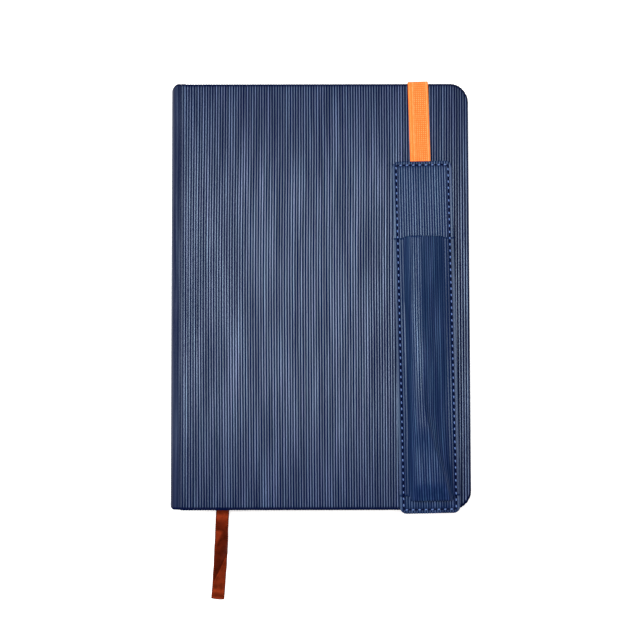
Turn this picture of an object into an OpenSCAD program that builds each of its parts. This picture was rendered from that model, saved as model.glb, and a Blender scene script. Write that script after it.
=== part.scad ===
// A closed case-bound notebook lying on its back cover, with a pen sleeve on an elastic band and a ribbon marker.
// +X points to the fore-edge, +Y to the head and +Z up. The origin is the middle of the back cover's outer face.

/* [Case] */
// Width of the closed book, from the spine to the fore-edge
case_w = 147; // [130:1:160]
// Height of the book, from head to tail
case_h = 210; // [190:1:230]
// Thickness of the covering skin
skin_t = 0.5; // [0.3:0.1:0.7]
// Thickness of the cover boards
board_t = 2; // [1.5:0.1:3]
// Thickness of the spine board
spine_board_t = 0.8; // [0.5:0.1:1]
// Outer radius of the fore-edge corners
corner_r = 9.5; // [6:0.5:12]
// Radius on which the skin turns from a cover into the spine
joint_r = 5; // [4:0.5:6]
// Width of the skin that is turned in over the boards' edges
turn_in = 13; // [8:1:18]

/* [Block] */
// Thickness of one signature of 12 leaves
signature_t = 1.18; // [1:0.02:1.6]
// Distance from one signature to the next
signature_pitch = 1.2; // [1.2:0.1:1.7]
// Thickness of an endpaper
paper_t = 0.15; // [0.1:0.01:0.2]
// How far the boards stand past the leaves
square = 3; // [2:0.5:5]
// Radius of the leaves' fore-edge corners
leaf_r = 8; // [5:0.5:10]
// Sewing stations along the spine
stations = 6; // [4:1:8]

/* [Pen band] */
// Width of the elastic
elastic_w = 10; // [8:0.1:12]
// Thickness of the elastic
elastic_t = 0.8; // [0.6:0.1:1]
// Lean of the elastic from upright, in degrees
elastic_lean = 1.5; // [0:0.1:2]
// Lean of the sleeve from upright, in degrees
sleeve_lean = 1; // [0:0.01:1.5]
// Width of the sleeve
sleeve_w = 29.5; // [26:0.5:32]
// Length of the sleeve
sleeve_l = 172.5; // [160:0.5:180]
// Radius of the sleeve's corners
sleeve_r = 3.4; // [2:0.1:5]
// Distance from the sleeve's top edge to the pocket's mouth
mouth_drop = 38; // [30:0.5:45]
// Distance from the pocket's lower end to the sleeve's bottom edge
pocket_rise = 8.5; // [5:0.5:12]
// Width of the raised part of the pocket
tunnel_w = 20; // [16:0.5:22]
// Height of the raised part of the pocket over its flanges
tunnel_h = 5.8; // [5.4:0.1:7]
// Distance of the stitch line from the sleeve's edge
stitch_inset = 2; // [1.5:0.1:3]
// Distance from one stitch to the next
stitch_pitch = 3.1; // [2.5:0.1:4]

/* [Ribbon] */
// Width of the ribbon
ribbon_w = 6.5; // [4:0.1:8]
// Thickness of the ribbon
ribbon_t = 0.2; // [0.1:0.02:0.3]

/* [Hidden] */

// Signatures in each half of the block, which NODES and the if lines list one by one
half_signatures = 4;

// Clearances
leaf_gap = 0.05;
ribbon_gap = 0.32;
elastic_gap = 0.1;
loop_gap = 0.3;

// Heights of the layers, from the table up
z_back_board = skin_t;
z_back_turn = z_back_board + board_t;
z_back_paste = z_back_turn + skin_t;
z_back_fly = z_back_paste + paper_t + leaf_gap;
z_rear_half = z_back_fly + paper_t + leaf_gap;
half_t = (half_signatures - 1) * signature_pitch + signature_t;
z_front_half = z_rear_half + half_t + ribbon_gap;
z_split = z_front_half - ribbon_gap / 2;
z_front_fly = z_front_half + half_t + leaf_gap;
z_inner_run = z_front_fly + paper_t + elastic_gap;
z_front_paste = z_inner_run + elastic_t + elastic_gap;
z_front_turn = z_front_paste + paper_t;
z_front_board = z_front_turn + skin_t;
z_front_skin = z_front_board + board_t;
case_t = z_front_skin + skin_t;
z_elastic = case_t + elastic_gap;
z_lining = z_elastic + elastic_t;
lining_t = 0.4;
z_sleeve = z_lining + lining_t;
sleeve_t = 1;
z_pocket = z_sleeve + sleeve_t;
pocket_t = 0.8;

// Places across the book
x_spine = -case_w / 2;
x_fore = case_w / 2;
x_cover = x_spine + joint_r;
x_board = x_cover + 1.5;
x_block = x_spine + 2.9;
x_leaf = x_fore - square - skin_t;
leaf_half = case_h / 2 - square;
board_half = case_h / 2 - skin_t;
spine_half = case_h / 2 - 2.3;
mull_t = 0.3;
lining_paper_t = 0.3;
arc_steps = 12;

// Stitch, kerf, mull and headband sizes
stitch_l = 2.1;
stitch_w = 0.5;
stitch_t = 0.3;
stitch_gap = 0.06;
thread_r = 0.2;
kerf_w = 1.2;
kerf_d = 0.55;
flap_w = 24;
flap_t = 0.25;
band_r = 0.7;
band_skirt = 7;
band_skirt_t = 0.2;
spine_ease = 0.2;

// Places of the elastic and the sleeve where they cross the book's middle line
elastic_x = 51.3;
sleeve_x = 51.35;
sleeve_y = -21.2;
tunnel_x = 1;

// Route of the ribbon's free end, along its middle
ribbon_route = [
    [-48, -102, 8.3],
    [-48.1, -104.5, 8.2],
    [-48.2, -107, 7.9],
    [-48.4, -109.5, 7.4],
    [-48.5, -112, 6.7],
    [-48.7, -114.5, 5.9],
    [-48.8, -117, 5],
    [-48.9, -119.5, 4],
    [-49.1, -122, 3.1],
    [-49.3, -124.5, 2.3],
    [-49.4, -127, 1.6],
    [-49.6, -130, 0.9],
    [-49.7, -133, 0.5],
    [-50, -136, 0.3],
    [-50.2, -139, 0.2],
    [-50.4, -142, 0.2],
    [-50.6, -145, 0.2],
    [-51, -149.5, 0.2]
];

function arc(cx, cy, r, a0, a1, n = arc_steps) =
    [for (i = [0:n]) [cx + r * cos(a0 + (a1 - a0) * i / n), cy + r * sin(a0 + (a1 - a0) * i / n)]];

// Outline with square corners at the spine and round ones at the fore-edge
module book_outline(x0, x1, half, r) {
    polygon(concat(
        [[x0, -half]],
        arc(x1 - r, r - half, r, -90, 0),
        arc(x1 - r, half - r, r, 0, 90),
        [[x0, half]]
    ));
}

module round_outline(w, l, r) {
    polygon(concat(
        arc(w / 2 - r, l / 2 - r, r, 0, 90),
        arc(r - w / 2, l / 2 - r, r, 90, 180),
        arc(r - w / 2, r - l / 2, r, 180, 270),
        arc(w / 2 - r, r - l / 2, r, 270, 360)
    ));
}

module plate(x0, x1, half, r, z, t) {
    translate([0, 0, z])
        linear_extrude(t)
            book_outline(x0, x1, half, r);
}

// Extrudes a profile drawn in X and Z along the book's height
module along_y(length) {
    translate([0, length / 2, 0])
        rotate([90, 0, 0])
            linear_extrude(length)
                children();
}

module board(z) {
    plate(x_board, x_fore - skin_t, board_half, corner_r - skin_t, z, board_t);
}

// Outer sheet, edge walls and turn-ins of one cover; z_turn is the height of the turn-ins
module cover_skin(z_low, z_board, z_turn) {
    past = 1;
    difference() {
        plate(x_cover, x_fore, case_h / 2, corner_r, z_low, board_t + 2 * skin_t);
        plate(x_cover - past, x_fore - skin_t, board_half, corner_r - skin_t, z_board, board_t);
        plate(x_cover - past, x_fore - turn_in, case_h / 2 - turn_in, 1, z_turn, skin_t);
    }
}

// Endpaper glued in a cover: a sheet over the turn-ins and the fill between them
module pastedown(z_sheet, z_fill, z_flap) {
    plate(x_board, x_leaf, leaf_half, leaf_r, z_sheet, paper_t);
    difference() {
        plate(x_board, x_fore - turn_in, case_h / 2 - turn_in, 1, z_fill, skin_t);
        mull_flap(z_flap);
    }
}

module mull_flap(z) {
    translate([x_board, turn_in + 2 - case_h / 2, z])
        cube([flap_w, case_h - 2 * turn_in - 4, flap_t]);
}

module endleaf(z) {
    plate(x_block + signature_t / 2, x_leaf, leaf_half, leaf_r, z, paper_t);
}

function station_y(i) = leaf_half * (2 * (i + 0.5) / stations - 1);

// One folded group of leaves, with its round fold at the spine and the kerfs for its thread
module signature(z) {
    r = signature_t / 2;
    difference() {
        intersection() {
            plate(x_block, x_leaf, leaf_half, leaf_r, z, signature_t);
            along_y(case_h)
                polygon(concat(
                    [[x_fore, z], [x_fore, z + signature_t]],
                    arc(x_block + r, z + r, r, 90, 270, 8)
                ));
        }
        for (i = [0:stations - 1])
            translate([x_block - 1, station_y(i) - kerf_w / 2, z - 1])
                cube([1 + kerf_d, kerf_w, signature_t + 2]);
    }
}

// Signatures are counted from the front of the book
function signature_z(i) = i <= half_signatures
    ? z_front_half + (half_signatures - i) * signature_pitch
    : z_rear_half + (2 * half_signatures - i) * signature_pitch;

module back_board() {
    color("tan")
        board(z_back_board);
}

module back_cover_skin() {
    color("midnightblue")
        cover_skin(0, z_back_board, z_back_turn);
}

module back_mull_flap() {
    color("beige")
        mull_flap(z_back_turn);
}

module back_pastedown() {
    color("ivory")
        pastedown(z_back_paste, z_back_turn, z_back_turn);
}

module back_flyleaf() {
    color("ivory")
        endleaf(z_back_fly);
}

module front_board() {
    color("tan")
        board(z_front_board);
}

module front_cover_skin() {
    color("midnightblue")
        cover_skin(z_front_turn, z_front_board, z_front_turn);
}

module front_mull_flap() {
    color("beige")
        mull_flap(z_front_board - flap_t);
}

module front_pastedown() {
    color("ivory")
        pastedown(z_front_paste, z_front_turn, z_front_board - flap_t);
}

module front_flyleaf() {
    color("ivory")
        endleaf(z_front_fly);
}

module leaf_group(i) {
    color("floralwhite")
        signature(signature_z(i));
}

// One thread at each station, down through the kerfs of every signature
module sewing_thread() {
    color("white")
        for (i = [0:stations - 1])
            translate([x_block + thread_r + 0.05, station_y(i), z_rear_half + signature_t / 2])
                cylinder(r = thread_r, h = z_front_half + half_t - z_rear_half - signature_t, $fn = 24);
}

module spine_mull() {
    color("beige")
        translate([x_block - mull_t, turn_in - case_h / 2, z_rear_half])
            cube([mull_t, case_h - 2 * turn_in, z_front_half + half_t - z_rear_half]);
}

module spine_lining() {
    color("burlywood")
        translate([x_block - mull_t - lining_paper_t, -leaf_half + 1, z_rear_half])
            cube([lining_paper_t, 2 * leaf_half - 2, z_front_half + half_t - z_rear_half]);
}

// Rounded cloth edge over the end of the block's spine, with the skirt that is glued down; side is 1 or -1
module end_band(side) {
    block_t = z_front_half + half_t - z_rear_half;
    x_skirt = x_block - mull_t - lining_paper_t - band_skirt_t;
    scale([1, side, 1])
        translate([0, 0, z_rear_half]) {
            translate([x_skirt + band_r, leaf_half + band_r + leaf_gap, 0])
                cylinder(r = band_r, h = block_t, $fn = 32);
            translate([x_skirt, leaf_half - band_skirt, 0])
                cube([band_skirt_t, band_skirt + band_r, block_t]);
        }
}

module headband() {
    color("chocolate")
        end_band(1);
}

module tailband() {
    color("chocolate")
        end_band(-1);
}

// Strip of skin that turns the corner between a cover and the spine
module joint_strip(z_middle, a0, a1) {
    along_y(case_h)
        polygon(concat(
            arc(x_cover, z_middle, joint_r, a0, a1),
            arc(x_cover, z_middle, joint_r - skin_t, a1, a0)
        ));
}

module back_joint_skin() {
    color("midnightblue")
        joint_strip(joint_r, 180, 270);
}

module front_joint_skin() {
    color("midnightblue")
        joint_strip(case_t - joint_r, 90, 180);
}

module spine_board() {
    color("tan")
        translate([x_spine + skin_t, -spine_half, joint_r + spine_ease])
            cube([spine_board_t, 2 * spine_half, case_t - 2 * joint_r - 2 * spine_ease]);
}

// Spine's outer sheet, its walls over the board's two ends and the turn-ins behind them
module spine_skin() {
    height = case_t - 2 * joint_r;
    depth = 2 * skin_t + spine_board_t;
    color("midnightblue")
        difference() {
            translate([x_spine, -case_h / 2, joint_r])
                cube([depth, case_h, height]);
            translate([x_spine + skin_t, -spine_half, joint_r - 1])
                cube([spine_board_t, 2 * spine_half, height + 2]);
            translate([x_spine + skin_t, turn_in - case_h / 2, joint_r - 1])
                cube([depth, case_h - 2 * turn_in, height + 2]);
        }
}

// Stretch of the ribbon that lies between the two halves of the block
module ribbon_marker() {
    start = [x_block + 4, leaf_half - 1];
    end = [ribbon_route[0][0], ribbon_route[0][1]];
    half = ribbon_w / 2;
    color("saddlebrown")
        translate([0, 0, z_split - ribbon_t / 2])
            linear_extrude(ribbon_t)
                polygon([
                    [start[0] - half, start[1]],
                    [end[0] - half, end[1]],
                    [end[0] + half, end[1]],
                    [start[0] + half, start[1]]
                ]);
}

function unit(v) = v / norm(v);
function route_way(p, i) = unit(p[min(i + 1, len(p) - 1)] - p[max(i - 1, 0)]);
// Flat eight-sided section, as [across, up]
function ribbon_section(w, t) = [
    [w / 2, -t / 4], [w / 2, t / 4], [w * 0.45, t / 2], [-w * 0.45, t / 2],
    [-w / 2, t / 4], [-w / 2, -t / 4], [-w * 0.45, -t / 2], [w * 0.45, -t / 2]
];
function ring(p, i, section) =
    let (way = i == 0 ? [0, -1, 0] : route_way(p, i), across = unit(cross(way, [0, 0, 1])), up = cross(across, way))
    [for (s = section) p[i] + across * s[0] + up * s[1]];

// Sweeps a section along a route
module sweep(p, section) {
    n = len(section);
    last = (len(p) - 1) * n;
    points = [for (i = [0:len(p) - 1]) each ring(p, i, section)];
    sides = [for (i = [0:len(p) - 2], k = [0:n - 1])
        [i * n + k, i * n + (k + 1) % n, (i + 1) * n + (k + 1) % n, (i + 1) * n + k]];
    first_end = [for (k = [n - 1:-1:0]) k];
    last_end = [for (k = [0:n - 1]) last + k];
    polyhedron(points, concat(sides, [first_end, last_end]));
}

module ribbon_tail() {
    color("saddlebrown")
        sweep(ribbon_route, ribbon_section(ribbon_w, ribbon_t));
}

// Closed loop round the front cover, drawn across Y and Z
module elastic_band() {
    inner_l = case_h + 2 * loop_gap;
    inner_h = z_elastic - z_inner_run - elastic_t;
    inner_r = 0.5;
    color("darkorange")
        translate([elastic_x, 0, (z_inner_run + z_elastic + elastic_t) / 2])
            rotate([0, 0, elastic_lean])
                rotate([90, 0, 90])
                    translate([0, 0, -elastic_w / 2])
                        linear_extrude(elastic_w)
                            difference() {
                                round_outline(inner_l + 2 * elastic_t, inner_h + 2 * elastic_t, inner_r + elastic_t);
                                round_outline(inner_l, inner_h, inner_r);
                            }
}

// Places children in the sleeve's own frame: X across it, Y along it, from its middle
module on_sleeve(z) {
    rotate([0, 0, sleeve_lean])
        translate([sleeve_x, sleeve_y, z])
            children();
}

module sleeve_lining() {
    edge = 0.6;
    color("slategray")
        on_sleeve(z_lining)
            linear_extrude(lining_t)
                round_outline(sleeve_w - 2 * edge, sleeve_l - 2 * edge, sleeve_r - edge);
}

module sleeve_back() {
    color("navy")
        on_sleeve(z_sleeve)
            linear_extrude(sleeve_t)
                round_outline(sleeve_w, sleeve_l, sleeve_r);
}

function arch(half, height, n = 2 * arc_steps) =
    [for (i = [0:n]) [tunnel_x - half * cos(180 * i / n), height * sin(180 * i / n)]];

// Front panel: two flat flanges and the raised tunnel between them
module sleeve_pocket() {
    length = sleeve_l - mouth_drop - pocket_rise;
    outer = arch(tunnel_w / 2, pocket_t + tunnel_h);
    inner = arch(tunnel_w / 2 - pocket_t, tunnel_h);
    last = len(inner) - 1;
    color("navy")
        on_sleeve(z_pocket)
            translate([0, (pocket_rise - mouth_drop) / 2, 0])
                along_y(length)
                    polygon(concat(
                        [[-sleeve_w / 2, 0], [-sleeve_w / 2, pocket_t]],
                        [for (p = outer) if (p[1] > pocket_t) p],
                        [[sleeve_w / 2, pocket_t], [sleeve_w / 2, 0]],
                        [for (i = [last:-1:0]) inner[i]]
                    ));
}

module stitch(at, turn) {
    translate(at)
        rotate([0, 0, turn])
            translate([-stitch_l / 2, -stitch_w / 2, stitch_gap])
                cube([stitch_l, stitch_w, stitch_t]);
}

// Separate stitches round the sleeve's edge, on the pocket's flanges where it covers the back panel
module sleeve_stitching() {
    across = sleeve_w / 2 - stitch_inset;
    along = sleeve_l / 2 - stitch_inset;
    rows = floor((2 * along - sleeve_r) / stitch_pitch / 2);
    columns = floor((2 * across - sleeve_r) / stitch_pitch / 2);
    mouth = sleeve_l / 2 - mouth_drop;
    foot = pocket_rise - sleeve_l / 2;
    color("steelblue")
        on_sleeve(z_pocket) {
            for (side = [-1, 1], k = [-rows:rows])
                let (y = k * stitch_pitch, clear = stitch_pitch / 2)
                    if (abs(y - mouth) > clear && abs(y - foot) > clear)
                        stitch([side * across, y, y < mouth && y > foot ? pocket_t : 0], 90);
            for (side = [-1, 1], k = [-columns:columns])
                stitch([k * stitch_pitch, side * along, 0], 0);
        }
}

back_board();
back_cover_skin();
back_mull_flap();
back_pastedown();
back_flyleaf();
leaf_group(1);  // signature_1
leaf_group(2);  // signature_2
leaf_group(3);  // signature_3
leaf_group(4);  // signature_4
leaf_group(5);  // signature_5
leaf_group(6);  // signature_6
leaf_group(7);  // signature_7
leaf_group(8);  // signature_8
sewing_thread();
spine_mull();
spine_lining();
headband();
tailband();
ribbon_marker();
ribbon_tail();
back_joint_skin();
spine_board();
spine_skin();
front_joint_skin();
front_board();
front_cover_skin();
front_mull_flap();
front_pastedown();
front_flyleaf();
elastic_band();
sleeve_lining();
sleeve_back();
sleeve_pocket();
sleeve_stitching();
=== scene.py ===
import math
import random
from functools import reduce
from itertools import accumulate

import bmesh
import bpy
from bpy.props import FloatProperty, FloatVectorProperty, IntProperty, PointerProperty
from mathutils import Matrix, Vector, noise
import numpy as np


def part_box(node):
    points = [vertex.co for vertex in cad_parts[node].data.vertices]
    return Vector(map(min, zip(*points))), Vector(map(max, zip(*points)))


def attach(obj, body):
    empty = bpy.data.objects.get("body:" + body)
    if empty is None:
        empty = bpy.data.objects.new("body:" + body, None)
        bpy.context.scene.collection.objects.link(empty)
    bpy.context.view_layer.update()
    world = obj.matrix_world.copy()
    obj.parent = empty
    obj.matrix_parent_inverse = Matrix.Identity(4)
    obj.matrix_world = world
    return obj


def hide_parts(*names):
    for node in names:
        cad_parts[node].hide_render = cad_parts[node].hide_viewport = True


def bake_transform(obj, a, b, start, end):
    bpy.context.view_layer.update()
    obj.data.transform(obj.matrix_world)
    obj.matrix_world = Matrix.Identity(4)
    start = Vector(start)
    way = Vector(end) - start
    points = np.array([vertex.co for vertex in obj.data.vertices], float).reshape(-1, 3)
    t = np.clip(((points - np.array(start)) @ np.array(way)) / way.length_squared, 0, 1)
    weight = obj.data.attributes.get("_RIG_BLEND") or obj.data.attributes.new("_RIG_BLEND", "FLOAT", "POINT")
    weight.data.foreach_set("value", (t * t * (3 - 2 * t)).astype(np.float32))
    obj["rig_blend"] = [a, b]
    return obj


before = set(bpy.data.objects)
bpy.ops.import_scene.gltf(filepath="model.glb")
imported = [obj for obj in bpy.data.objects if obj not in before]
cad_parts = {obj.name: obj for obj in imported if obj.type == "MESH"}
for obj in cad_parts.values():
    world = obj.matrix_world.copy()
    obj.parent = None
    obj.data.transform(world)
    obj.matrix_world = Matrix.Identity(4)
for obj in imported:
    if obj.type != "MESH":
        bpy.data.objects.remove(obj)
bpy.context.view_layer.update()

bl_info = {
    "name": "Pilot logbook",
    "version": (1, 0, 0),
    "blender": (4, 5, 0),
    "location": "3D View > Sidebar > Logbook",
    "description": "Ribbed case-bound logbook with a pen sleeve on an elastic band and a ribbon marker",
    "category": "Add Mesh",
}

MM = 0.001
# Faces from one rib to the next
PER_RIB = 6
# Vertices closer than this are one
WELD = 0.002 * MM
# Skin over the sleeve's back panel at the pocket's flanges
FLANGE_THICKNESS = 0.8 * MM

# Places that the CAD parts in model.glb give
COVER_LOW, COVER_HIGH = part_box("front_cover_skin")
SPINE_LOW, SPINE_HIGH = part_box("spine_skin")
BLOCK_LOW, BLOCK_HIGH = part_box("signature_8")[0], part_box("signature_1")[1]
RIBBON_LOW, RIBBON_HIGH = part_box("ribbon_marker")
ELASTIC_LOW, ELASTIC_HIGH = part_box("elastic_band")
SLEEVE_LOW, SLEEVE_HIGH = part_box("sleeve_back")
MIDDLE_Z = (SPINE_LOW.z + SPINE_HIGH.z) / 2
SPLIT_Z = (RIBBON_LOW.z + RIBBON_HIGH.z) / 2

# Middle of the ribbon's free end, from the block's tail edge to its cut end
RIBBON_ROUTE = [
    (-0.0480, -0.102, 0.0083), (-0.0481, -0.1045, 0.0082), (-0.0482, -0.107, 0.0079),
    (-0.0484, -0.1095, 0.0074), (-0.0485, -0.112, 0.0067), (-0.0487, -0.1145, 0.0059),
    (-0.0488, -0.117, 0.0050), (-0.0489, -0.1195, 0.0040), (-0.0491, -0.122, 0.0031),
    (-0.0493, -0.1245, 0.0023), (-0.0494, -0.127, 0.0016), (-0.0496, -0.130, 0.0009),
    (-0.0497, -0.133, 0.0005), (-0.0500, -0.136, 0.0003), (-0.0502, -0.139, 0.0002),
    (-0.0504, -0.142, 0.0002), (-0.0506, -0.145, 0.0002), (-0.0510, -0.1495, 0.0002),
]


# Sizes and colours

def length(name, default, description, low=0.0, high=1.0):
    return FloatProperty(
        name=name, description=description, default=default, min=low, max=high, unit="LENGTH", precision=5
    )


def angle(name, degrees, description):
    return FloatProperty(name=name, description=description, default=math.radians(degrees), subtype="ANGLE")


def colour(name, default, description):
    return FloatVectorProperty(
        name=name, description=description, default=default, size=3, min=0, max=1, subtype="COLOR"
    )


class LogbookCase(bpy.types.PropertyGroup):
    """Sizes and colours of the covering skin"""

    rib_pitch: length("Rib pitch", 1.2844 * MM, "Distance from one rib to the next")
    rib_depth: length("Rib depth", 0.24 * MM, "Height of a rib over its grooves")
    edge_radius: length("Edge radius", 0.9 * MM, "Radius of the skin over a board's edge")
    corner_radius: length("Corner radius", 9.5 * MM, "Radius of the fore-edge corners")
    joint_radius: length("Joint radius", COVER_LOW.x - SPINE_LOW.x, "Radius from a cover into the spine")
    skin_thickness: length("Skin thickness", 0.22 * MM, "Thickness of the skin under its grooves")
    # The groove colour is painted shade in the grooves, and the crest colour is a painted highlight on the ribs' tops
    groove: colour("Groove", (0.0016, 0.0055, 0.032), "Colour in the grooves")
    crest: colour("Crest", (0.058, 0.090, 0.190), "Colour of the ribs' rubbed tops")
    gloss: FloatProperty(name="Gloss", description="How much the ribs' tops shine", default=1.0, min=0, max=2)


class LogbookBlock(bpy.types.PropertyGroup):
    """Sizes and colours of the leaves"""

    sheets: IntProperty(name="Sheets", description="Folded sheets in a signature", default=6, min=1, max=12)
    leaf_thickness: length("Leaf thickness", 0.086 * MM, "Thickness of one leaf")
    leaf_radius: length("Leaf radius", 8 * MM, "Radius of the leaves' corners")
    trim_error: length("Trim error", 0.07 * MM, "How unevenly the leaves end")
    paper: colour("Paper", (0.80, 0.76, 0.66), "Colour of the leaves")
    ruling: colour("Ruling", (0.22, 0.33, 0.45), "Colour of the ruled lines")


class LogbookPenBand(bpy.types.PropertyGroup):
    """Sizes and colours of the elastic and the sleeve"""

    elastic_width: length("Elastic width", 10 * MM, "Width of the elastic")
    elastic_lean: angle("Elastic lean", 1.5, "Turn of the elastic")
    elastic_x: length("Elastic place", 51.3 * MM, "Where the elastic crosses the middle line", -1, 1)
    sleeve_width: length("Sleeve width", 29.5 * MM, "Width of the sleeve")
    sleeve_length: length("Sleeve length", 172.5 * MM, "Length of the sleeve")
    sleeve_radius: length("Sleeve radius", 3.4 * MM, "Radius of the sleeve's corners")
    sleeve_lean: angle("Sleeve lean", 1, "Turn of the sleeve")
    stitch_inset: length("Stitch inset", 2 * MM, "Distance of the stitches from the edge")
    stitch_pitch: length("Stitch pitch", 3.1 * MM, "Distance from one stitch to the next")
    mouth_drop: length("Mouth drop", 38 * MM, "From the sleeve's head end to the pocket's mouth")
    pocket_rise: length("Pocket rise", 8.5 * MM, "From the sleeve's tail end to the pocket's foot")
    # The sleeve's groove colour is painted shade in its grooves, and its crest colour is a painted highlight on its
    # ribs' tops
    groove: colour("Groove", (0.0030, 0.0125, 0.052), "Colour in the sleeve's grooves")
    crest: colour("Crest", (0.040, 0.088, 0.200), "Colour of the sleeve's ribs")
    orange: colour("Elastic", (0.95, 0.225, 0.030), "Colour of the elastic")
    thread: colour("Thread", (0.085, 0.165, 0.42), "Colour of the sleeve's thread")


class LogbookRibbon(bpy.types.PropertyGroup):
    """Sizes and colours of the ribbon marker"""

    width: length("Width", 6.5 * MM, "Width of the ribbon")
    thickness: length("Thickness", 0.16 * MM, "Thickness of the ribbon")
    satin: colour("Satin", (0.110, 0.0125, 0.0035), "Colour of the ribbon")


class LogbookStudio(bpy.types.PropertyGroup):
    """Camera and light"""

    distance: length("Camera distance", 0.8, "Distance from the camera to the cover", 0.1, 5)
    tilt: angle("Camera tilt", 3.7, "Lean of the camera towards the tail")
    field: angle("Field of view", 22.175, "Angle that the view spans")
    roll: angle("Camera roll", -0.12, "Turn of the camera about its own axis")
    look_x: length("Look at, across", -0.05 * MM, "Middle of the view across the book", -1, 1)
    look_y: length("Look at, along", -12.2 * MM, "Middle of the view along the book", -1, 1)
    key_power: FloatProperty(name="Key light", description="Power of the overhead light", default=14)
    side_power: FloatProperty(name="Side light", description="Power of the light on the spine's side", default=7)
    sky: FloatProperty(name="Sky", description="Strength of the even light all round", default=0.35)


GROUPS = {
    "logbook_case": LogbookCase,
    "logbook_block": LogbookBlock,
    "logbook_band": LogbookPenBand,
    "logbook_ribbon": LogbookRibbon,
    "logbook_studio": LogbookStudio,
}


# Small helpers

def smooth(x, low, high):
    t = min(1.0, max(0.0, (x - low) / (high - low)))
    return t * t * (3 - 2 * t)


def along(x, stops):
    """Value at x of the smooth line through the (place, value) stops."""
    for (x0, y0), (x1, y1) in zip(stops, stops[1:]):
        if x <= x1:
            return y0 + (y1 - y0) * smooth(x, x0, x1)
    return stops[-1][1]


def wander(x, y, seed):
    """A slow random value from -1 to 1 at that place."""
    return noise.noise(Vector((x, y, seed * 7.31)))


def grid(columns, rows):
    """A flat grid whose vertices stand at whole numbers, column by row."""
    bm = bmesh.new()
    bmesh.ops.create_grid(bm, x_segments=columns, y_segments=rows, size=1)
    for v in bm.verts:
        v.co.x = round((v.co.x + 1) / 2 * columns)
        v.co.y = round((v.co.y + 1) / 2 * rows)
    return bm


def take_in(bm, part):
    """Moves a small bmesh into a bigger one."""
    spare = bpy.data.meshes.new("spare")
    part.to_mesh(spare)
    part.free()
    bm.from_mesh(spare)
    bpy.data.meshes.remove(spare)


def make_piece(name, bm, makers, slot, replaces=(), body=None, bend=None, sharp=50, thickness=0.0):
    """Turns a bmesh into an object that rides on a body or bends between two. An open sheet is given its
    thickness inwards from its outer face."""
    mesh = bpy.data.meshes.new(name)
    bm.normal_update()
    bm.to_mesh(mesh)
    bm.free()
    for maker in makers:
        mesh.materials.append(material(maker))
    mesh.shade_smooth()
    mesh.set_sharp_from_angle(angle=math.radians(sharp))
    piece = bpy.data.objects.new(name, mesh)
    bpy.context.scene.collection.objects.link(piece)
    if replaces:
        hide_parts(*replaces)
    if bend:
        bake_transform(piece, *bend)
    else:
        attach(piece, body)
    if thickness:
        modifier = piece.modifiers.new("Thickness", "SOLIDIFY")
        modifier.thickness = thickness
        modifier.offset = -1
        modifier.use_even_offset = False
    return piece


def finish_node(name, maker):
    """Gives a CAD node a better material."""
    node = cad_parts[name]
    node.data.materials.clear()
    node.data.materials.append(material(maker))
    node.data.polygons.foreach_set("use_smooth", [False] * len(node.data.polygons))


# Materials

def dyed(shade, *shares):
    """A colour with each of its three parts, or all of them, made stronger or weaker."""
    shares = shares * 3 if len(shares) == 1 else shares
    return tuple(min(1.0, c * share) for c, share in zip(shade, shares))


WHITE = (1.0, 1.0, 1.0)


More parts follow.
